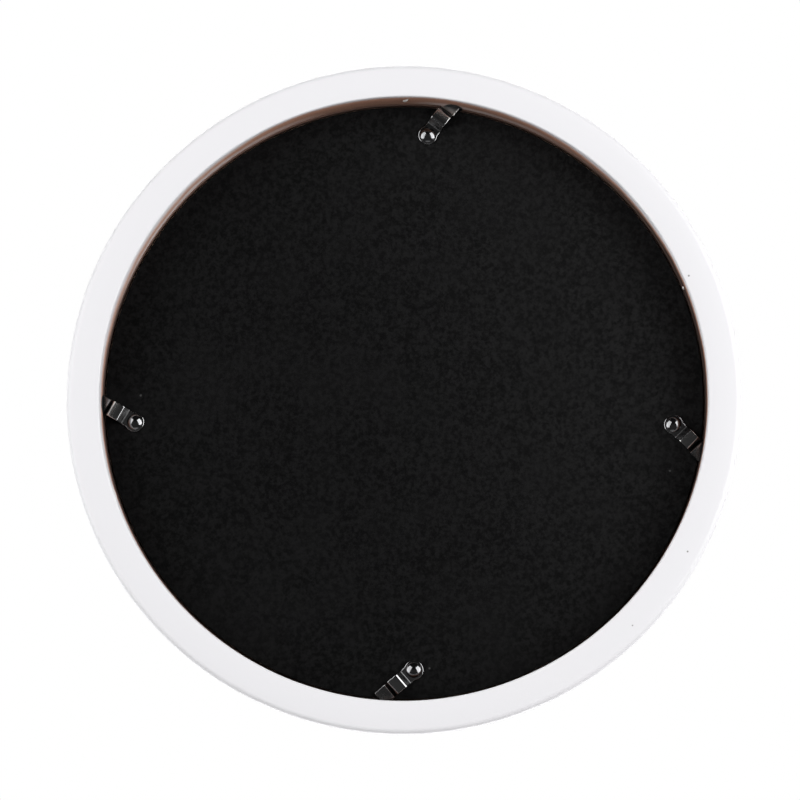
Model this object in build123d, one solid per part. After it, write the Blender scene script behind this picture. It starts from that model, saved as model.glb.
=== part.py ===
from build123d import *
import os
from math import cos, hypot, radians, sin

os.makedirs("parts", exist_ok=True)

# A round photo frame, as it hangs on a wall: +Z up, the front towards -Y, the back face in the plane Y = 0.
# The origin is on the ring's axis, in the plane of the back face. Lengths are in mm and angles in degrees.

# Driving sizes of the frame
insert_diameter = 254.0  # glass, photo and backing are cut as one 10 inch round
insert_gap = 1.0  # radial gap between the inserts and the wall of the rabbet
back_face_width = 13.9  # width of the ring's back, from the rabbet to the outer edge
frame_depth = 25.0  # wall to front
lip_thickness = 4.0  # front lip that the glass lies against
lip_overlap = 5.0  # how far the lip covers the edge of the glass
outer_round = 2.6  # rounded arrises of the ring
rabbet_round = 0.8
sight_round = 1.5

# Thicknesses of the inserts, from the front to the back
glass_thickness = 2.0
glass_arris = 0.3  # seamed edge of the glass
photo_thickness = 0.4
board_thickness = 3.0
facing_thickness = 0.3  # black paper laminated to the back of the board

# Rivets with a domed head, rolled over a washer that lies in a pocket in the front of the board
pivot_inset = 12.0  # from the edge of the board to the rivet's centre
shank_radius = 1.5
dome_overlap = 1.7  # how far the dome reaches past the shank
dome_height = 1.6
dome_rim = 0.3  # straight edge under the dome
tail_roll = 0.9  # how far the rolled tail reaches past the shank
tail_height = 0.6
tail_round = 0.25
tail_wall = 0.7  # left round the bore in the tail
tail_bore_depth = 1.4
tail_clearance = 0.1  # from the tail to the photo
washer_overlap = 1.1  # how far the washer reaches past the rolled tail
washer_thickness = 0.5
washer_clearance = 0.1  # radial, of the washer's hole on the shank
pocket_clearance = 0.3  # radial, round the washer

# Swivel clips, bent from strip, each with a round head under the dome and a raised middle
sheet = 0.8
clip_width = 6.9
head_rim = 0.9  # how far the clip's head reaches past the dome
neck = 0.8  # flat run between the head and the rise
rise_run = 2.2
hump_height = 2.8
fall_run = 1.6
fall_inset = 0.2  # from the foot of the fall to the wall, with the clip straight out
tip_height = 0.35  # of the tip's underside over the head's
tip_engagement = 6.0  # how far the tip passes the wall, with the clip straight out
bend_radius = 0.8  # inside of each bend
tip_corner = 0.8  # rounded corners of the tip
hole_clearance = 0.05  # running fit of the clip's hole on the rivet's shank
clip_play = 0.05  # under the clip, and again above it

# Groove in the wall of the rabbet, which the tips of the clips turn into
stop_turn = 32.0  # turn from radial at which a tip meets the floor of the groove
tip_clearance = 0.45  # left there between the tip's corner and the floor
tip_headroom = 0.7  # from the tip to the groove's upper wall
groove_below = 0.3  # from the surface of the backing to the groove's lower wall

overrun = 1.0  # how far every cut runs past what it cuts

# Seen from behind, each rivet's angle from three o'clock, and how far its clip is turned clockwise from radial
clip_places = {
    "left": (185.0, 34.5),
    "top": (85.0, 33.7),
    "right": (-5.5, 40.8),
    "bottom": (-87.7, 51.4),
}

# Radii and levels that follow from the driving sizes
insert_radius = insert_diameter / 2
rabbet_radius = insert_radius + insert_gap
outer_radius = rabbet_radius + back_face_width
sight_radius = insert_radius - lip_overlap
pivot_circle = insert_radius - pivot_inset
dome_radius = shank_radius + dome_overlap
tail_radius = shank_radius + tail_roll
tail_bore = shank_radius - tail_wall
washer_radius = tail_radius + washer_overlap
clip_head_radius = dome_radius + head_rim
clip_reach = pivot_inset + insert_gap + tip_engagement
front_level = -frame_depth
glass_level = front_level + lip_thickness
photo_level = glass_level + glass_thickness
board_level = photo_level + photo_thickness
facing_level = board_level + board_thickness
backing_level = facing_level + facing_thickness  # the surface that is seen from behind
pocket_depth = washer_thickness + tail_height + tail_clearance
pocket_level = board_level + pocket_depth
groove_above = clip_play + tip_height + sheet + tip_headroom

# The groove's floor clears the outer corner of a tip that stands at its stop
corner_out = clip_reach * cos(radians(stop_turn)) + clip_width / 2 * sin(radians(stop_turn))
corner_aside = clip_reach * sin(radians(stop_turn)) - clip_width / 2 * cos(radians(stop_turn))
groove_radius = hypot(pivot_circle + corner_out, corner_aside) + tip_clearance


def turned(points, radii):
    """Solid turned about the frame's axis from (radius, level) points with a round at each."""
    profile = make_face(FilletPolyline(*points, radius=radii, close=True))
    return revolve(profile, Axis.Y)


def disc(radius, level, thickness):
    """Round sheet with its front in the plane at the level."""
    return extrude(Plane.XZ.offset(-level) * Circle(radius), -thickness)


def pivot_plane(name, level):
    """Plane on a rivet's axis, with its normal out of the back and its x axis along the clip."""
    polar, turn = clip_places[name]
    along = radians(polar - turn)
    place = radians(polar)
    centre = (-pivot_circle * cos(place), level, pivot_circle * sin(place))
    return Plane(origin=centre, x_dir=(-cos(along), 0, sin(along)), z_dir=(0, 1, 0))


def pivot_cylinder(name, radius, level, height):
    """Cylinder on a rivet's axis, standing on the level."""
    upright = (Align.CENTER, Align.CENTER, Align.MIN)
    return pivot_plane(name, level).location * Cylinder(radius, height, align=upright)


def frame_ring():
    """Ring turned in one piece, with the rabbet for the inserts and the groove for the clips."""
    points = [
        (rabbet_radius, 0),
        (outer_radius, 0),
        (outer_radius, front_level),
        (sight_radius, front_level),
        (sight_radius, glass_level),
        (rabbet_radius, glass_level),
        (rabbet_radius, backing_level - groove_below),
        (groove_radius, backing_level - groove_below),
        (groove_radius, backing_level + groove_above),
        (rabbet_radius, backing_level + groove_above),
    ]
    rounds = [rabbet_round, outer_round, outer_round, sight_round] + [0] * (len(points) - 4)
    return turned(points, rounds)


def glass_pane():
    """Pane with both edges seamed."""
    pane = disc(insert_radius, glass_level, glass_thickness)
    return chamfer(pane.edges(), glass_arris)


def backing_board():
    """Fibreboard disc with four rivet holes, each with a pocket at the front for the washer."""
    board = disc(insert_radius, board_level, board_thickness)
    for name in clip_places:
        board -= pivot_cylinder(name, shank_radius, board_level - overrun, board_thickness + overrun * 2)
        pocket = pivot_cylinder(
            name, washer_radius + pocket_clearance, board_level - overrun, pocket_depth + overrun
        )
        board -= pocket
    return board


def board_facing():
    """Black paper on the back of the board, pierced by the rivets."""
    paper = disc(insert_radius, facing_level, facing_thickness)
    for name in clip_places:
        paper -= pivot_cylinder(name, shank_radius, facing_level - overrun, facing_thickness + overrun * 2)
    return paper


def raised(points, distance):
    """The points of a bent line, moved to its upper side by a distance, so that its runs stay parallel."""
    moved = []
    directions = [(Vector(*b) - Vector(*a)).normalized() for a, b in zip(points, points[1:])]
    for i, point in enumerate(points):
        before = directions[max(i - 1, 0)]
        after = directions[min(i, len(directions) - 1)]
        normal = (before + after).normalized().rotate(Axis.Z, 90)
        half_turn = radians(before.get_angle(after)) / 2
        moved.append(tuple(Vector(*point) + normal * (distance / cos(half_turn)))[:2])
    return moved


def clip_blank():
    """Bent clip lying on the XY plane, with its hole at the origin and its tip along +X."""
    rise_start = clip_head_radius + neck
    fall_end = pivot_inset + insert_gap - fall_inset
    lower = [
        (-clip_head_radius, 0),
        (rise_start, 0),
        (rise_start + rise_run, hump_height),
        (fall_end - fall_run, hump_height),
        (fall_end, tip_height),
        (clip_reach, tip_height),
    ]
    upper = raised(lower, sheet)
    outside = bend_radius + sheet
    bends = [outside, bend_radius, bend_radius, outside]
    across = [bend_radius, outside, outside, bend_radius]
    radii = [0] + bends + [0, 0] + across[::-1] + [0]
    section = make_face(FilletPolyline(*lower, *upper[::-1], radius=radii, close=True))
    strip = extrude(Plane.XZ * section, clip_head_radius + overrun, both=True)
    head = Circle(clip_head_radius)
    shank = Pos(clip_reach / 2, 0) * Rectangle(clip_reach, clip_width)
    shank = fillet(shank.vertices().group_by(Axis.X)[-1], tip_corner)
    hole = Circle(shank_radius + hole_clearance)
    outline = head + shank - hole
    return strip & extrude(outline, hump_height + sheet + overrun)


def swivel_clip(name):
    """A clip on its rivet, turned as it stands with its tip in the groove."""
    return pivot_plane(name, backing_level + clip_play).location * clip_blank()


def rivet(name):
    """Rivet as it is set: dome over the clip, shank through the backing, tail rolled over the washer."""
    head_level = clip_play + sheet + clip_play
    seat = pocket_level - backing_level - washer_thickness
    tail_end = seat - tail_height
    rim_level = head_level + dome_rim
    crown = head_level + dome_height
    rise = dome_height - dome_rim
    sphere_radius = (dome_radius**2 + rise**2) / (rise * 2)
    middle = (crown - rim_level) - sphere_radius
    half_out = dome_radius / 2
    half_up = rim_level + middle + (sphere_radius**2 - half_out**2) ** 0.5
    dome = ThreePointArc((0, crown), (half_out, half_up), (dome_radius, rim_level))
    side = Polyline((dome_radius, rim_level), (dome_radius, head_level), (shank_radius, head_level))
    shank = Polyline((shank_radius, head_level), (shank_radius, seat), (tail_radius, seat))
    tail = FilletPolyline(
        (tail_radius, seat), (tail_radius, tail_end), (tail_bore, tail_end), radius=tail_round
    )
    bore_end = tail_end + tail_bore_depth
    bore = Polyline((tail_bore, tail_end), (tail_bore, bore_end), (0, bore_end), (0, crown))
    outline = Plane.XZ * make_face(Curve() + [dome, side, shank, tail, bore])
    return pivot_plane(name, backing_level).location * revolve(outline, Axis.Z)


def rivet_washer(name):
    """Washer that spreads the rivet's pull over the fibreboard."""
    level = pocket_level - washer_thickness
    washer = pivot_cylinder(name, washer_radius, level, washer_thickness)
    hole_radius = shank_radius + washer_clearance
    return washer - pivot_cylinder(name, hole_radius, level - overrun, washer_thickness + overrun * 2)


parts = {
    "frame_ring": frame_ring(),
    "glass_pane": glass_pane(),
    "photo_insert": disc(insert_radius, photo_level, photo_thickness),
    "backing_board": backing_board(),
    "board_facing": board_facing(),
}
for place in clip_places:
    parts["swivel_clip_" + place] = swivel_clip(place)
    parts["rivet_" + place] = rivet(place)
    parts["rivet_washer_" + place] = rivet_washer(place)

for node, shape in parts.items():
    shape.label = node
    export_step(shape, f"parts/{node}.step")
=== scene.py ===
# A round photo frame as it hangs on a wall, with its back towards +Y. It is put together here in the order of
# the real one: ring, glass, photo, backing board, black paper, washers, swivel clips and rivets.
import math

import bmesh
import bpy
from mathutils import Matrix, Vector


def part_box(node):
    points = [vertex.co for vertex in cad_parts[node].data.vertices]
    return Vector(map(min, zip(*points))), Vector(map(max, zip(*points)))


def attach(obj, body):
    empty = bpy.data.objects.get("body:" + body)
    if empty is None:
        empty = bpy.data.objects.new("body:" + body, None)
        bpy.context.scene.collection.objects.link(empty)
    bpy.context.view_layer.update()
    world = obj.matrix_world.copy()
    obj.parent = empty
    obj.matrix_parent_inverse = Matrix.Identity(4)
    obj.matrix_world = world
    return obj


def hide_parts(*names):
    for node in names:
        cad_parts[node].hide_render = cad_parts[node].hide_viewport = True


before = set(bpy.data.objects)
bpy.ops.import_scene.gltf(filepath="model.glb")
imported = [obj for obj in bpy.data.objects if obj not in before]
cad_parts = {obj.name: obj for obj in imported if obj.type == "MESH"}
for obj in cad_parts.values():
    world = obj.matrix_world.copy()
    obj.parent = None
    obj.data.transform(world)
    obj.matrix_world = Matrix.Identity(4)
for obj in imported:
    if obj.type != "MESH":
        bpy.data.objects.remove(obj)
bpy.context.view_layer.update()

# RING. Medium-density fibreboard, turned in one piece with a rabbet for the inserts, a lip in front and a
# groove for the clips' tips. It is sprayed satin white from outside, which only dusts the rabbet's wall.
mm = 0.001
same_place = 0.02 * mm
seam = 0.002 * mm
ring_segments = 320
outer_radius = 141.9 * mm
rabbet_radius = 128 * mm
groove_radius = 133.583 * mm
sight_radius = 122 * mm
front_level = -25 * mm
seat_level = -21 * mm
groove_low = -15.6 * mm
groove_high = -13.4 * mm
outer_round = 2.6 * mm
rabbet_round = 0.8 * mm
sight_round = 1.5 * mm
groove_arris = 0.15 * mm


def pick(piece, wanted):
    """Selects the points of the piece being edited whose place passes the test."""
    mesh = bmesh.from_edit_mesh(piece.data)
    for point in mesh.verts:
        point.select = wanted(point.co)
    mesh.select_flush_mode()
    bmesh.update_edit_mesh(piece.data)


def start_shaping(piece):
    """Leaves only this piece selected, and opens it for editing with all its points selected."""
    bpy.ops.object.select_all(action="DESELECT")
    piece.select_set(True)
    bpy.context.view_layer.objects.active = piece
    bpy.ops.object.mode_set(mode="EDIT")
    bpy.ops.mesh.select_mode(type="VERT")
    bpy.ops.mesh.select_all(action="SELECT")


def stop_shaping(piece, smooth_angle=35):
    """Closes the seams, turns the faces outward and shades the curved ones smooth."""
    bpy.ops.mesh.select_all(action="SELECT")
    bpy.ops.mesh.remove_doubles(threshold=seam)
    bpy.ops.mesh.normals_make_consistent(inside=False)
    bpy.ops.object.mode_set(mode="OBJECT")
    bpy.ops.object.shade_smooth_by_angle(angle=math.radians(smooth_angle))


ring_corners = [
    (outer_radius, 0),
    (outer_radius, front_level),
    (sight_radius, front_level),
    (sight_radius, seat_level),
    (rabbet_radius, seat_level),
    (rabbet_radius, groove_low),
    (groove_radius, groove_low),
    (groove_radius, groove_high),
    (rabbet_radius, groove_high),
    (rabbet_radius, 0),
]
bpy.ops.object.select_all(action="DESELECT")
bpy.ops.mesh.primitive_circle_add(vertices=ring_segments, radius=rabbet_radius, rotation=(math.pi / 2, 0, 0))
ring = bpy.context.object
ring.name = "turned_ring"
bpy.ops.object.transform_apply()
start_shaping(ring)
radius, level = rabbet_radius, 0
for next_radius, next_level in ring_corners:
    bpy.ops.mesh.extrude_edges_move(TRANSFORM_OT_translate={"value": (0, next_level - level, 0)})
    share = next_radius / radius
    bpy.ops.transform.resize(value=(share, 1, share), center_override=(0, 0, 0))
    radius, level = next_radius, next_level
bpy.ops.mesh.select_all(action="SELECT")
bpy.ops.mesh.remove_doubles(threshold=seam)
ring_rounds = [  # the corner's radius and level, its rounding, and the facets of that
    (outer_radius, 0, outer_round, 8),
    (outer_radius, front_level, outer_round, 8),
    (sight_radius, front_level, sight_round, 6),
    (rabbet_radius, 0, rabbet_round, 5),
    (rabbet_radius, groove_low, groove_arris, 2),
    (rabbet_radius, groove_high, groove_arris, 2),
]
for radius, level, rounding, steps in ring_rounds:
    pick(
        ring,
        lambda at: abs(math.hypot(at.x, at.z) - radius) < same_place and abs(at.y - level) < same_place,
    )
    bpy.ops.mesh.bevel(offset=rounding, segments=steps, affect="EDGES")
stop_shaping(ring)


def put(tree, kind, sockets=(), **settings):
    """Adds a shader node, and gives each socket named or numbered a value or a wire."""
    made = tree.nodes.new("ShaderNode" + kind)
    for key, value in settings.items():
        setattr(made, key, value)
    for key, value in dict(sockets).items():
        if isinstance(value, bpy.types.NodeSocket):
            tree.links.new(value, made.inputs[key])
        else:
            made.inputs[key].default_value = value
    return made


def new_finish(name, **shine):
    """A material with its Principled shader, and the place on the object in millimetres."""
    finish = bpy.data.materials.new(name)
    finish.use_nodes = True
    tree = finish.node_tree
    surface = tree.nodes["Principled BSDF"]
    for socket, value in shine.items():
        surface.inputs[socket.replace("_", " ")].default_value = value
    place = put(tree, "TexCoord").outputs["Object"]
    place = put(tree, "VectorMath", {0: place, "Scale": 1 / mm}, operation="SCALE").outputs[0]
    return finish, tree, surface, place


def ramp(tree, value, low, high, to_low=0, to_high=1):
    """A smooth step of a value between two others."""
    sockets = {"Value": value, "From Min": low, "From Max": high, "To Min": to_low, "To Max": to_high}
    return put(tree, "MapRange", sockets, interpolation_type="SMOOTHSTEP").outputs[0]


def compute(tree, operation, first, second=0.0):
    """One step of arithmetic, on one value or two."""
    return put(tree, "Math", {0: first, 1: second}, operation=operation).outputs[0]


def add(tree, first, second):
    """The sum of two values."""
    return compute(tree, "ADD", first, second)


def times(tree, first, second):
    """The product of two values."""
    return compute(tree, "MULTIPLY", first, second)


def larger(tree, first, second):
    """The larger of two values."""
    return compute(tree, "MAXIMUM", first, second)


def blend(tree, share, first, second):
    """A colour between two others."""
    sockets = {0: share}
    for number, colour in ((6, first), (7, second)):
        sockets[number] = colour if isinstance(colour, bpy.types.NodeSocket) else (*colour, 1)
    return put(tree, "Mix", sockets, data_type="RGBA").outputs[2]


def distance_to(tree, spot, place):
    """How far a place is from a spot."""
    return put(tree, "VectorMath", {0: place, 1: spot}, operation="DISTANCE").outputs["Value"]


def noise(tree, place, scale, detail=2.0, roughness=0.5):
    """Cloudy noise with about so many clouds to the millimetre."""
    sockets = {"Vector": place, "Scale": scale, "Detail": detail, "Roughness": roughness}
    return put(tree, "TexNoise", sockets).outputs["Fac"]


def bumps(tree, surface, height, tallest):
    """Raises the surface by a height map, at most by so many millimetres."""
    bump = put(tree, "Bump", {"Height": height, "Distance": tallest * mm, "Strength": 1.0})
    tree.links.new(bump.outputs[0], surface.inputs["Normal"])


def specks(tree, place, cells, channel, rarity, spot, marks, core):
    """Small round spots, 1 where they are: in a few of the cells at random, and where the marks say.

    cells is how many go to the millimetre, rarity and spot are the steps that pick the cells and draw the
    spots, a mark is a place and a radius in mm, and core is the share of its radius that is solid.
    """
    across = put(tree, "VectorMath", {0: place, 1: (1, 0, 1)}, operation="MULTIPLY").outputs[0]
    dots = put(tree, "TexVoronoi", {"Vector": place, "Scale": cells, "Randomness": 1.0})
    picked = ramp(tree, put(tree, "SeparateColor", {0: dots.outputs["Color"]}).outputs[channel], *rarity)
    found = times(tree, ramp(tree, dots.outputs["Distance"], *spot), picked)
    for x, z, size in marks:
        gap = distance_to(tree, (x, 0, z), across)
        found = larger(tree, found, ramp(tree, gap, size, size * core))
    return found


white_paint = (0.881, 0.873, 0.897)
bare_board_pale = (0.62, 0.34, 0.235)
bare_board_dark = (0.44, 0.205, 0.13)
# Painted shade for the foot of the bare wall and for the groove
shaded_board = (0.036, 0.015, 0.010)
groove_shade_brown = (0.09, 0.055, 0.045)
dirt = (0.10, 0.09, 0.085)

painted_ring, tree, surface, place = new_finish("white_painted_fibreboard", IOR=1.47)
axes = put(tree, "SeparateXYZ", {0: place}).outputs
across = put(tree, "CombineXYZ", {"X": axes["X"], "Z": axes["Z"]}).outputs[0]
from_axis = put(tree, "VectorMath", {0: across}, operation="LENGTH").outputs["Value"]
depth = times(tree, axes["Y"], -1.0)
angle = compute(tree, "ARCTAN2", axes["Z"], times(tree, axes["X"], -1.0))
turns = compute(tree, "FRACT", compute(tree, "DIVIDE", angle, math.tau))

# Going round from three o'clock as seen from behind, in degrees: the depth in mm at which the dusting of
# paint ends, how dark the bare board is painted below it as painted shade, how strongly a second pass of the
# spray gun left a pale band near the wall's foot, and the share of the depth over which the paint still
# covers
spray_reach = (
    (0, 5.5, 1, 0, 0.4),
    (22, 5.5, 1, 0, 0.4),
    (38, 8, 0.95, 0, 0.4),
    (58, 6, 0.45, 0.1, 0.05),
    (74, 4.6, 0.36, 0.55, 0),
    (84, 3.8, 0.3, 0.5, 0),
    (89, 3.6, 0.32, 0, 0),
    (104, 3.6, 0.32, 0, 0),
    (117, 4.8, 0.08, 0.6, 0),
    (132, 9, 0, 0.95, 0.03),
    (147, 9, 0, 0.9, 0.03),
    (163, 10.5, 0.85, 0.1, 0.1),
    (200, 9, 1, 0, 0.45),
    (340, 6, 1, 0, 0.4),
)
deepest_reach = 12.0
round_the_ring = put(tree, "ValToRGB", {0: turns})
stops = round_the_ring.color_ramp.elements
for degrees, reach, darkening, band, cover in spray_reach:
    stop = stops[0] if degrees == 0 else stops.new(degrees / 360)
    stop.color = (reach / deepest_reach, darkening, band, cover)
stops[-1].color = stops[0].color
shares = put(tree, "SeparateColor", {0: round_the_ring.outputs[0]}).outputs
reach = times(tree, shares[0], deepest_reach)

# How far the edge of the dusting wanders and speckles, in mm
wander = 1.6
speckle = 1.0
spray_edge = noise(tree, place, 0.06, 4)
spray_grain = noise(tree, place, 1.6, 3, 0.6)
ragged = add(tree, depth, ramp(tree, spray_edge, 0, 1, -wander, wander))
speckled = add(tree, ragged, ramp(tree, spray_grain, 0, 1, -speckle, speckle))
bare = ramp(tree, compute(tree, "DIVIDE", speckled, reach), round_the_ring.outputs["Alpha"], 1.0)

# Where the pale band sets in and ends, by its depth in mm, and the share of the bare board that it covers
band_start = (7.8, 10.8)
band_end = (13.8, 13.5)
band_cover = 0.62
band_depth = times(tree, ramp(tree, speckled, *band_start), ramp(tree, depth, *band_end))
band = times(tree, times(tree, band_depth, shares[2]), band_cover)

# Only the rabbet and the groove are bare: outwards to just past the groove's floor, down to the glass's seat,
# and up to the rounded mouth
floor_edge = (134.9, 134.3)
seat_edge = (21.2, 21.0)
mouth_edge = (0.03, 0.6)
inside = times(tree, ramp(tree, from_axis, *floor_edge), ramp(tree, depth, *seat_edge))
bare = times(tree, times(tree, bare, compute(tree, "SUBTRACT", 1.0, band)), inside)
bare = times(tree, bare, ramp(tree, depth, *mouth_edge))

# Painted shade darkens the bare board from three quarters of the dusting's depth, and deepens over the next
# few mm
shade_start = 0.75
shade_growth = 5.5
below = compute(tree, "SUBTRACT", ragged, times(tree, reach, shade_start))
painted_wall_shade = times(tree, ramp(tree, below, 0, shade_growth), shares[1])

# Black spots painted on the wall above the groove over the clips' tips, at these angles: spots about 8 mm
# wide and half as deep again, of which that wall shows the upper part
dark_spot_angles = (80.5, 181.2, 265.5, 349.7)
dark_spot_depth = 14
dark_spot_squash = 0.65
dark_spot_edge = (4.4, 3.6)
dark_spot_speckle = 0.5
wall_edge = (130.4, 130.0)
on_wall = rabbet_radius / mm
squashed = put(tree, "VectorMath", {0: place, 1: (1, dark_spot_squash, 1)}, operation="MULTIPLY").outputs[0]
marked = None
for degrees in dark_spot_angles:
    polar = math.radians(degrees)
    middle = (-on_wall * math.cos(polar), -dark_spot_depth * dark_spot_squash, on_wall * math.sin(polar))
    gap = distance_to(tree, middle, squashed)
    speckled_gap = add(tree, gap, ramp(tree, spray_grain, 0, 1, -dark_spot_speckle, dark_spot_speckle))
    mark = ramp(tree, speckled_gap, *dark_spot_edge)
    marked = larger(tree, mark, marked) if marked else mark
marked = times(tree, marked, ramp(tree, from_axis, *wall_edge))

# Painted shade: the bare board at the groove's mouth and in the groove is painted dark brown
groove_shade_mouth = (13.3, 13.6)
fibres = noise(tree, place, 2.4, 5, 0.7)
board_colour = blend(tree, ramp(tree, fibres, 0.3, 0.7), bare_board_dark, bare_board_pale)
board_colour = blend(tree, painted_wall_shade, board_colour, shaded_board)
board_colour = blend(tree, ramp(tree, depth, *groove_shade_mouth, 0, 0.8), board_colour, groove_shade_brown)
cloud = noise(tree, place, 0.012, 2)
paint_colour = blend(tree, cloud, tuple(0.985 * c for c in white_paint), white_paint)

# Dust, with the three specks that the photograph shows
dust_marks = ((-120.3, 50.3, 0.55), (-118.6, -66.0, 0.5), (-95.5, -96.7, 0.4))
dust = specks(tree, place, 0.085, 0, (0.90, 0.905), (0.040, 0.022), dust_marks, 0.45)
paint_colour = blend(tree, times(tree, dust, 0.75), paint_colour, dirt)

wall_colour = blend(tree, bare, paint_colour, board_colour)
spot_black = (0.004, 0.004, 0.005)
tree.links.new(blend(tree, marked, wall_colour, spot_black), surface.inputs["Base Color"])
matt = larger(tree, bare, marked)
tree.links.new(ramp(tree, matt, 0, 1, 0.42, 0.9), surface.inputs["Roughness"])
orange_peel = noise(tree, place, 0.55, 2)
relief = add(tree, times(tree, orange_peel, 0.35), times(tree, fibres, bare))
bumps(tree, surface, relief, 0.05)
ring.data.materials.append(painted_ring)
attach(ring, "framed_back")
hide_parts("frame_ring")

# PAINT DRIPS. Beads of the same white paint that ran over the arris and dried on the rabbet's wall, one at
# the wall's foot on the right, a wide one on the lower left and a slanting run under the top. Each has its
# angle; in mm its depth, half its width, half its length and how far it stands out; and its slant.
thin_end = 0.35
thin_shape = (0.55, 1.15, 0.7)
thick_end = -0.4
thick_shape = (1.12, 0.9, 1.1)
drip_places = {
    "foot": (21.6, 11.4, 0.75, 0.95, 0.6, 0),
    "left": (199.2, 1.9, 2.6, 1.1, 0.55, 0),
    "top": (89.7, 6.9, 0.8, 2.6, 0.6, 25),
}
drips = []
for name, (degrees, depth_down, half_wide, half_deep, proud, lean) in drip_places.items():
    bpy.ops.object.select_all(action="DESELECT")
    bpy.ops.mesh.primitive_uv_sphere_add(segments=24, ring_count=16, radius=1)
    drip = bpy.context.object
    drip.name = "paint_drip_" + name
    start_shaping(drip)
    pick(drip, lambda at: at.y > thin_end)
    bpy.ops.transform.resize(value=thin_shape, center_override=(0, thin_end, 0))
    pick(drip, lambda at: at.y < thick_end)
    bpy.ops.transform.resize(value=thick_shape, center_override=(0, thick_end, 0))
    bpy.ops.mesh.select_all(action="SELECT")
    bpy.ops.transform.resize(value=(half_wide * mm, half_deep * mm, proud * mm), center_override=(0, 0, 0))
    bpy.ops.transform.rotate(value=math.radians(lean), orient_axis="Z", center_override=(0, 0, 0))
    stop_shaping(drip, 60)
    polar = math.radians(degrees)
    outward = Vector((-math.cos(polar), 0, math.sin(polar)))
    along = Vector((-math.sin(polar), 0, -math.cos(polar)))
    towards_back = Vector((0, 1, 0))
    turned = Matrix((along, towards_back, along.cross(towards_back))).transposed().to_4x4()
    middle = outward * rabbet_radius - towards_back * depth_down * mm
    drip.matrix_world = Matrix.Translation(middle) @ turned
    bpy.ops.object.transform_apply()
    drips.append(drip)
bpy.ops.object.select_all(action="DESELECT")
for drip in drips:
    drip.select_set(True)
bpy.context.view_layer.objects.active = drips[0]
bpy.ops.object.join()
drips = bpy.context.object
drips.name = "paint_drips"
start_shaping(drips)
stop_shaping(drips, 60)
drip_paint, tree, surface, place = new_finish("dried_paint_beads", IOR=1.47, Roughness=0.33)
tone = noise(tree, place, 0.9, 3)
tree.links.new(blend(tree, tone, (0.72, 0.70, 0.67), (0.86, 0.85, 0.84)), surface.inputs["Base Color"])
bumps(tree, surface, noise(tree, place, 1.5, 2), 0.05)
drips.data.materials.append(drip_paint)
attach(drips, "framed_back")

# GLASS PANE. A round of 2 mm float glass with both edges seamed, laid against the lip. It shows faint wiping
# marks under a raking light, and lets the lamps through to the photo.


def give_finish(node, finish):
    """Gives a CAD node a finish in place of its plain one."""
    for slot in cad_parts[node].material_slots:
        slot.material = finish


glass, tree, surface, place = new_finish("clear_float_glass", IOR=1.52, Transmission_Weight=1.0)
wiped = put(tree, "Mapping", {0: place, "Scale": (1, 1, 3)}).outputs[0]
smears = noise(tree, wiped, 0.02, 4, 0.65)
tree.links.new(ramp(tree, smears, 0.45, 0.8, 0.0, 0.09), surface.inputs["Roughness"])
clean, smeared = (0.965, 0.985, 0.975), (0.94, 0.965, 0.955)
tree.links.new(blend(tree, ramp(tree, smears, 0.4, 0.8), clean, smeared), surface.inputs["Base Color"])
lamp_rays = put(tree, "LightPath").outputs["Is Shadow Ray"]
open_to_lamps = put(tree, "BsdfTransparent", {"Color": (0.95, 0.97, 0.96, 1)}).outputs[0]
pane_surface = put(tree, "MixShader", {0: lamp_rays, 1: surface.outputs[0], 2: open_to_lamps}).outputs[0]
tree.links.new(pane_surface, tree.nodes["Material Output"].inputs["Surface"])
give_finish("glass_pane", glass)

# PHOTO. A round of resin-coated paper, held flat between the glass and the board. It is left blank, and is a
# slightly warm white with a faint pearl grain.
photo_paper, tree, surface, place = new_finish("blank_photo_paper", Roughness=0.38)
tooth = noise(tree, place, 3.0, 3, 0.6)
shade = noise(tree, place, 0.015, 3)
tree.links.new(blend(tree, shade, (0.83, 0.825, 0.80), (0.86, 0.855, 0.835)), surface.inputs["Base Color"])
bumps(tree, surface, tooth, 0.02)
give_finish("photo_insert", photo_paper)

# BACKING BOARD. A round of 3 mm hard fibreboard that carries the rivets: pressed wood fibres, brown, with a
# smooth face and a woolly cut edge. Only the edge and the bores can be seen, past the black paper.
hardboard, tree, surface, place = new_finish("hard_fibreboard", Roughness=0.7)
layers = put(tree, "Mapping", {0: place, "Scale": (1, 4, 1)}).outputs[0]
strands = noise(tree, layers, 0.9, 6, 0.7)
flecks = noise(tree, place, 0.25, 4)
browns = blend(tree, ramp(tree, strands, 0.3, 0.7), (0.13, 0.075, 0.042), (0.33, 0.21, 0.13))
browns = blend(tree, ramp(tree, flecks, 0.5, 0.75), browns, (0.20, 0.12, 0.07))
tree.links.new(browns, surface.inputs["Base Color"])
bumps(tree, surface, strands, 0.08)
give_finish("backing_board", hardboard)

# BLACK PAPER. Matt black paper laminated to the back of the board, with a fine felt grain and faint clouds, a
# little lighter towards one side as a painted sheen, and here and there a speck of white lint.
black_paper, tree, surface, place = new_finish("black_backing_paper", Roughness=0.8, Specular_IOR_Level=0.05)
felt = noise(tree, place, 0.5, 5, 0.68)
clouds = noise(tree, place, 0.035, 4, 0.6)
fine = noise(tree, place, 2.6, 2, 0.6)
nap = ramp(tree, felt, 0.36, 0.65)
deep_tone = blend(tree, nap, (0.0023, 0.0023, 0.0024), (0.0079, 0.0079, 0.0081))
sheen_tone = blend(tree, nap, (0.0050, 0.0050, 0.0051), (0.0145, 0.0145, 0.0147))
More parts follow.
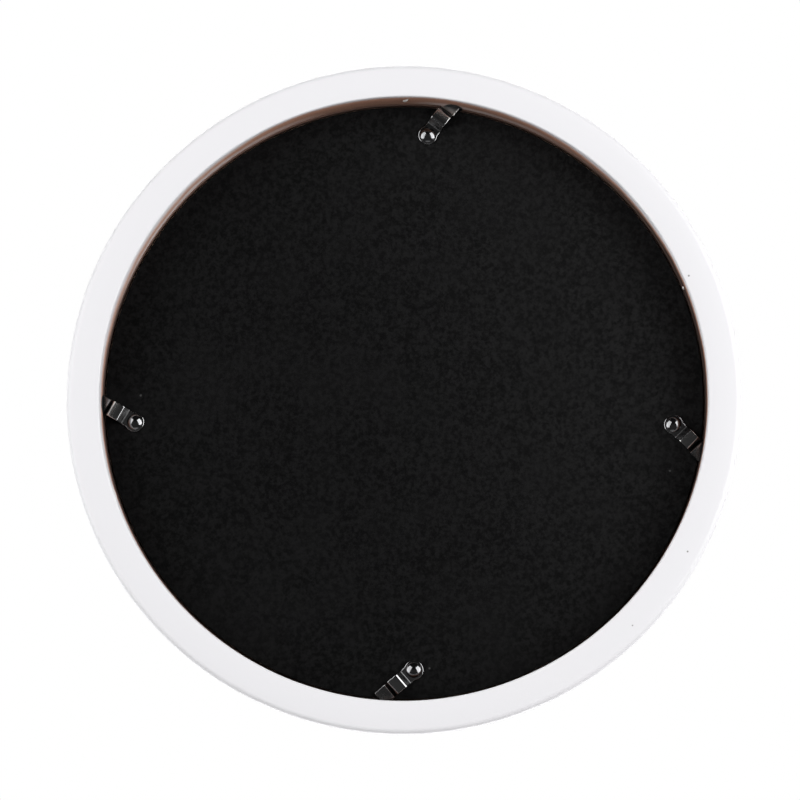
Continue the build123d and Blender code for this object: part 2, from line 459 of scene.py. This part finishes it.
# Painted sheen: the paper is painted lighter towards the right-hand lamp and a little upwards, seen from
# behind
sheen_side = (-0.95, 0, 0.3)
sheen_span = (-50, 140)
to_sheen_side = put(tree, "VectorMath", {0: place, 1: sheen_side}, operation="DOT_PRODUCT").outputs["Value"]
paper_tone = blend(tree, ramp(tree, to_sheen_side, *sheen_span), deep_tone, sheen_tone)
cloudy = ramp(tree, clouds, 0.42, 0.68, 0.0, 0.35)
paper_tone = blend(tree, cloudy, paper_tone, (0.0085, 0.0085, 0.0087))
lint_marks = ((112.2, 1.5, 0.65), (-112.7, -30.7, 0.6), (-11.2, -114.1, 0.6))
lint = specks(tree, place, 0.11, 1, (0.86, 0.95), (0.065, 0.02), lint_marks, 0.4)
paper_tone = blend(tree, times(tree, lint, 0.5), paper_tone, (0.10, 0.10, 0.10))
tree.links.new(paper_tone, surface.inputs["Base Color"])
relief = add(tree, felt, times(tree, fine, 0.6))
bumps(tree, surface, relief, 0.07)
give_finish("board_facing", black_paper)

# WASHERS. Punched from zinc-plated sheet steel and tumbled. One lies under each rivet's rolled tail, in a
# pocket in the front of the board, and spreads the rivet's pull.
places = ("left", "top", "right", "bottom")
zinc, tree, surface, place = new_finish("zinc_plated_steel", Metallic=1.0)
spangle = noise(tree, place, 1.2, 4, 0.6)
tree.links.new(blend(tree, spangle, (0.50, 0.51, 0.53), (0.68, 0.69, 0.71)), surface.inputs["Base Color"])
tree.links.new(ramp(tree, spangle, 0.3, 0.7, 0.28, 0.5), surface.inputs["Roughness"])
bumps(tree, surface, noise(tree, place, 4.0, 2), 0.01)
for name in places:
    give_finish("rivet_washer_" + name, zinc)

# SWIVEL CLIPS. Cut and bent from 0.8 mm strip steel and plated with black nickel, each with a round head
# under its rivet, a raised middle to push with a finger, and a tip that turns into the ring's groove.
sheet = 0.8 * mm
hole_radius = 1.55 * mm
head_radius = 4.1 * mm
half_width = 3.45 * mm
head_segments = 44
tip_reach = 19.0 * mm
bend_radius = 0.8 * mm
clip_bends = [(4.9 * mm, 0), (7.1 * mm, 2.8 * mm), (11.2 * mm, 2.8 * mm), (12.8 * mm, 0.35 * mm)]
tip_height = 0.35 * mm
tip_corner = 0.8 * mm
edge_round = 0.3 * mm
bend_facets = 8
corner_facets = 7
edge_facets = 3

bpy.ops.object.select_all(action="DESELECT")
bpy.ops.mesh.primitive_circle_add(vertices=head_segments, radius=hole_radius)
clip_blank = bpy.context.object
start_shaping(clip_blank)
bpy.ops.mesh.extrude_edges_move(TRANSFORM_OT_translate={"value": (0, 0, 0)})
share = head_radius / hole_radius
bpy.ops.transform.resize(value=(share, share, 1), center_override=(0, 0, 0))
inside_head = head_radius - 5 * same_place
pick(clip_blank, lambda at: at.length > inside_head and at.x > 0 and abs(at.y) < half_width + same_place)
shoulder = math.sqrt(head_radius**2 - half_width**2)
bpy.ops.transform.resize(value=(0, 1, 1), center_override=(shoulder, 0, 0))
bpy.ops.mesh.extrude_edges_move(TRANSFORM_OT_translate={"value": (clip_bends[0][0] - shoulder, 0, 0)})
slopes = []
for (x, z), (next_x, next_z) in zip(clip_bends, clip_bends[1:] + [(tip_reach, tip_height)]):
    bpy.ops.mesh.extrude_edges_move(TRANSFORM_OT_translate={"value": (next_x - x, 0, next_z - z)})
    slopes.append(math.atan2(next_z - z, next_x - x))
for (x, _), before, after in zip(clip_bends, [0] + slopes, slopes):
    turn = after - before
    radius = bend_radius + sheet if turn > 0 else bend_radius
    pick(clip_blank, lambda at: abs(at.x - x) < same_place)
    bpy.ops.mesh.bevel(offset=radius * math.tan(abs(turn) / 2), segments=bend_facets, affect="EDGES")
pick(clip_blank, lambda at: at.x > tip_reach - same_place and abs(at.y) < half_width - same_place)
bpy.ops.mesh.dissolve_verts()
pick(clip_blank, lambda at: at.x > tip_reach - same_place)
bpy.ops.mesh.bevel(offset=tip_corner, segments=corner_facets, affect="VERTICES")
stop_shaping(clip_blank)
thickness = clip_blank.modifiers.new("sheet", "SOLIDIFY")
thickness.thickness = sheet
thickness.offset = 1
thickness.use_even_offset = True
bpy.ops.object.modifier_apply(modifier=thickness.name)
softened = clip_blank.modifiers.new("tumbled_edges", "BEVEL")
softened.width = edge_round
softened.segments = edge_facets
softened.limit_method = "ANGLE"
softened.angle_limit = math.radians(60)
softened.use_clamp_overlap = False
bpy.ops.object.modifier_apply(modifier=softened.name)
map_length = 20 * mm
map_start = 0.3
strip_map = clip_blank.data.uv_layers.new(name="along_the_strip")
for loop in clip_blank.data.loops:
    at = clip_blank.data.vertices[loop.vertex_index].co
    strip_map.data[loop.index].uv = (at.x / map_length + map_start, at.y / map_length + 0.5)
start_shaping(clip_blank)
stop_shaping(clip_blank, 30)

# The plating is darker and duller in the hollow at the foot of the rise and along the tip, and rubbed bright
# on the bends of some clips
hollow = 5.2 * mm / map_length + map_start
hollow_edges = (1.36 * mm / map_length, 0.9 * mm / map_length)
darker_tip_span = (13.6 * mm / map_length + map_start, 14.8 * mm / map_length + map_start)
black_strip, tree, surface, place = new_finish("black_nickel_strip", Metallic=1.0)
strip_place = put(tree, "UVMap", uv_map="along_the_strip").outputs[0]
rolled = put(tree, "Mapping", {0: strip_place, "Scale": (1.5, 26, 1)}).outputs[0]
rolling_lines = noise(tree, rolled, 4.0, 4, 0.6)
blotches = noise(tree, place, 0.45, 4, 0.6)
nickel = blend(tree, blotches, (0.29, 0.29, 0.295), (0.37, 0.37, 0.375))
strip_length = put(tree, "SeparateXYZ", {0: strip_place}).outputs["X"]
from_hollow = compute(tree, "ABSOLUTE", compute(tree, "SUBTRACT", strip_length, hollow))
darker_tip = ramp(tree, strip_length, *darker_tip_span, 0, 0.8)
darkening = larger(tree, ramp(tree, from_hollow, *hollow_edges), darker_tip)
worn = put(tree, "Attribute", attribute_name="marked").outputs["Fac"]
nickel = blend(tree, times(tree, darkening, 0.75), nickel, (0.03, 0.03, 0.03))
tree.links.new(blend(tree, worn, nickel, (0.90, 0.89, 0.87)), surface.inputs["Base Color"])
streaks = ramp(tree, rolling_lines, 0.3, 0.7, 0.05, 0.09)
satin = add(tree, streaks, ramp(tree, blotches, 0.3, 0.7, 0.0, 0.03))
satin = add(tree, satin, times(tree, darkening, 0.2))
tree.links.new(add(tree, satin, times(tree, worn, 0.24)), surface.inputs["Roughness"])
bumps(tree, surface, add(tree, rolling_lines, blotches), 0.008)
clip_blank.data.materials.append(black_strip)

# Seen from behind, each rivet's angle from three o'clock and how far its clip is turned clockwise from radial
clip_places = {"left": (185.0, 34.5), "top": (85.0, 33.7), "right": (-5.5, 40.8), "bottom": (-87.7, 51.4)}
board_surface = -15.3 * mm
clip_play = 0.05 * mm


def set_in_place(blank, name, where, lift):
    """Copies a blank from the bench to its rivet, a lift above the board and turned as its clip is."""
    polar, turn = clip_places[where]
    ahead = math.radians(polar - turn)
    low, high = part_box("rivet_" + where)
    pivot = (low + high) / 2
    pivot.y = board_surface + lift
    along = Vector((-math.cos(ahead), 0, math.sin(ahead)))
    outward = Vector((0, 1, 0))
    piece = blank.copy()
    piece.data = blank.data.copy()
    piece.name = name
    bpy.context.collection.objects.link(piece)
    turned = Matrix((along, outward.cross(along), outward)).transposed().to_4x4()
    piece.matrix_world = Matrix.Translation(pivot) @ turned
    bpy.ops.object.select_all(action="DESELECT")
    piece.select_set(True)
    bpy.context.view_layer.objects.active = piece
    bpy.ops.object.transform_apply()
    return piece


# How far along each clip its bends are rubbed bright, and how strongly
rubbed_bends = {"left": ((11.2, 1),), "top": ((11.2, 1), (13.6, 1)), "right": ((7.2, 0.4),), "bottom": ()}
rub_width = 0.7 * mm
for name in places:
    clip = set_in_place(clip_blank, "bent_clip_" + name, name, clip_play)
    marked = clip.data.attributes.new("marked", "FLOAT", "POINT")
    for point, spot in zip(clip_blank.data.vertices, marked.data):
        spot.value = 0
        for x, share in rubbed_bends[name]:
            fade = 1 - (abs(point.co.x - x * mm) / rub_width) ** 2
            spot.value = max(spot.value, fade * share)
    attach(clip, "clip_" + name)
    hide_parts("swivel_clip_" + name)
bpy.data.objects.remove(clip_blank)

# RIVETS. Semi-tubular steel rivets with a low domed head, plated black and glossy. The shank passes through
# the clip, the paper and the board, and its tail is rolled over the washer.
shank_radius = 1.5 * mm
dome_radius = 3.2 * mm
head_level = 0.9 * mm
rim_level = 1.2 * mm
crown_level = 2.5 * mm
rim_round = 0.12 * mm
tail_seat = -2.6 * mm
tail_end = -3.2 * mm
tail_radius = 2.4 * mm
tail_round = 0.25 * mm
mid_round = tail_round * 0.3
bore_radius = 0.8 * mm
bore_end = -1.8 * mm
dome_steps = 14
rivet_segments = 56

rise = crown_level - rim_level
sphere_radius = (dome_radius**2 + rise**2) / (2 * rise)
dome_angle = math.asin(dome_radius / sphere_radius)
rivet_outline = []
for step in range(dome_steps + 1):
    angle = dome_angle * step / dome_steps
    drop = sphere_radius * (1 - math.cos(angle))
    rivet_outline.append((sphere_radius * math.sin(angle), crown_level - drop))
rivet_outline += [
    (dome_radius, head_level + rim_round),
    (dome_radius - rim_round, head_level),
    (shank_radius, head_level),
    (shank_radius, tail_seat),
    (tail_radius, tail_seat),
    (tail_radius, tail_end + tail_round),
    (tail_radius - mid_round, tail_end + mid_round),
    (tail_radius - tail_round, tail_end),
    (bore_radius, tail_end),
    (bore_radius, bore_end),
    (0, bore_end),
]
bpy.ops.object.select_all(action="DESELECT")
bpy.ops.mesh.primitive_plane_add(size=mm)
rivet_blank = bpy.context.object
start_shaping(rivet_blank)
bpy.ops.mesh.merge(type="CENTER")
bpy.ops.transform.translate(value=(0, 0, crown_level))
for (r, z), (next_r, next_z) in zip(rivet_outline, rivet_outline[1:]):
    bpy.ops.mesh.extrude_vertices_move(TRANSFORM_OT_translate={"value": (next_r - r, 0, next_z - z)})
bpy.ops.mesh.select_all(action="SELECT")
bpy.ops.mesh.spin(steps=rivet_segments, angle=math.tau, center=(0, 0, 0), axis=(0, 0, 1))
stop_shaping(rivet_blank, 40)

black_plate, tree, surface, place = new_finish("glossy_black_plating", Metallic=1.0)
pitting = noise(tree, place, 0.8, 4, 0.65)
tree.links.new(blend(tree, pitting, (0.16, 0.16, 0.165), (0.22, 0.22, 0.225)), surface.inputs["Base Color"])
tree.links.new(ramp(tree, pitting, 0.3, 0.75, 0.07, 0.14), surface.inputs["Roughness"])
bumps(tree, surface, noise(tree, place, 0.5, 3), 0.02)
rivet_blank.data.materials.append(black_plate)
for name in places:
    rivet = set_in_place(rivet_blank, "domed_rivet_" + name, name, 0)
    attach(rivet, "framed_back")
    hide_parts("rivet_" + name)
bpy.data.objects.remove(rivet_blank)

# STUDIO. A pale floor well below the frame, soft boxes to both sides of the back and above and below the
# front, a dim room around them, and a camera where the photograph was taken from.
floor_level = -1.8
floor_radius = 1.6
floor_fade = (450, 1550)
floor_grey = (0.86, 0.86, 0.86, 1)
bpy.ops.object.select_all(action="DESELECT")
bpy.ops.mesh.primitive_circle_add(
    vertices=96, radius=floor_radius, fill_type="NGON", location=(0, 0, floor_level)
)
floor = bpy.context.object
floor.name = "studio_floor"
bpy.ops.object.transform_apply()
pale, tree, surface, place = new_finish("pale_floor", Roughness=0.9)
from_middle = distance_to(tree, (0, 0, floor_level / mm), place)
surface.inputs["Base Color"].default_value = floor_grey
see_through = put(tree, "BsdfTransparent").outputs[0]
fade = ramp(tree, from_middle, *floor_fade)
faded = put(tree, "MixShader", {0: fade, 1: surface.outputs[0], 2: see_through})
tree.links.new(faded.outputs[0], tree.nodes["Material Output"].inputs["Surface"])
floor.data.materials.append(pale)

# The lamps, which all face the frame: degrees round from straight behind it, degrees up, degrees of lean,
# width and height in metres, and watts
soft_boxes = {
    "soft_box_right": (53, 7, 28, 1.2, 1.8, 27.6),
    "soft_box_left": (-53, 8, -28, 1.2, 2.0, 21.6),
    "side_fill_right": (80, 0, 0, 1.1, 1.6, 5.5),
    "side_fill_left": (-80, 0, 0, 1.1, 1.6, 5.5),
    "front_box_high": (180, 42, 0, 1.4, 1.2, 16),
    "front_box_low": (180, -48, 0, 1.4, 0.8, 20),
}
lamp_distance = 1.6
for name, (azimuth, elevation, lean, wide, tall, strength) in soft_boxes.items():
    side, up = math.radians(azimuth), math.radians(elevation)
    lamp = bpy.data.lights.new(name, "AREA")
    lamp.shape = "RECTANGLE"
    lamp.size = wide
    lamp.size_y = tall
    lamp.energy = strength
    holder = bpy.data.objects.new(name, lamp)
    holder.visible_camera = False
    bpy.context.collection.objects.link(holder)
    towards = Vector((-math.sin(side) * math.cos(up), math.cos(side) * math.cos(up), math.sin(up)))
    holder.location = towards * lamp_distance
    facing = towards.to_track_quat("Z", "Y").to_matrix() @ Matrix.Rotation(math.radians(lean), 3, "Z")
    holder.rotation_euler = facing.to_euler()

# The room's own light is dim, and a little stronger from below. In its place the camera, and whatever looks
# through glass, see a white backdrop, and gloss sees that on the far side of the frame from the camera
from_below, from_above = 0.07, 0.02
horizon = (0.0, 0.26)
backdrop_edge = (0.12, -0.12)
room = bpy.data.worlds.new("studio_room")
bpy.context.scene.world = room
room.use_nodes = True
tree = room.node_tree
rays = put(tree, "LightPath").outputs
heading = put(tree, "SeparateXYZ", {0: put(tree, "TexCoord").outputs["Generated"]}).outputs
backdrop_side = ramp(tree, heading["Y"], *backdrop_edge)
seen_in_gloss = times(tree, rays["Is Glossy Ray"], backdrop_side)
seen_through = larger(tree, rays["Is Transmission Ray"], seen_in_gloss)
seen = larger(tree, rays["Is Camera Ray"], seen_through)
dimness = ramp(tree, heading["Z"], *horizon, from_below, from_above)
dim_room = put(tree, "Background", {"Color": (1, 1, 1, 1), "Strength": dimness}).outputs[0]
white_backdrop = put(tree, "Background", {"Color": (1, 1, 1, 1), "Strength": 1.0}).outputs[0]
around = put(tree, "MixShader", {0: seen, 1: dim_room, 2: white_backdrop}).outputs[0]
tree.links.new(around, tree.nodes["World Output"].inputs[0])

# The camera was fitted to the outlines of the ring and the rabbet
camera_place = (-0.029, 1.134, -0.153)
camera_turn = (97.557, -0.199, -178.503)
camera_lens = 122.7
camera_sensor = 36
camera = bpy.data.objects.new("camera", bpy.data.cameras.new("camera"))
bpy.context.collection.objects.link(camera)
camera.location = camera_place
camera.rotation_euler = tuple(math.radians(angle) for angle in camera_turn)
camera.data.sensor_width = camera_sensor
camera.data.lens = camera_lens
bpy.context.scene.camera = camera
bpy.context.scene.view_settings.view_transform = "Standard"
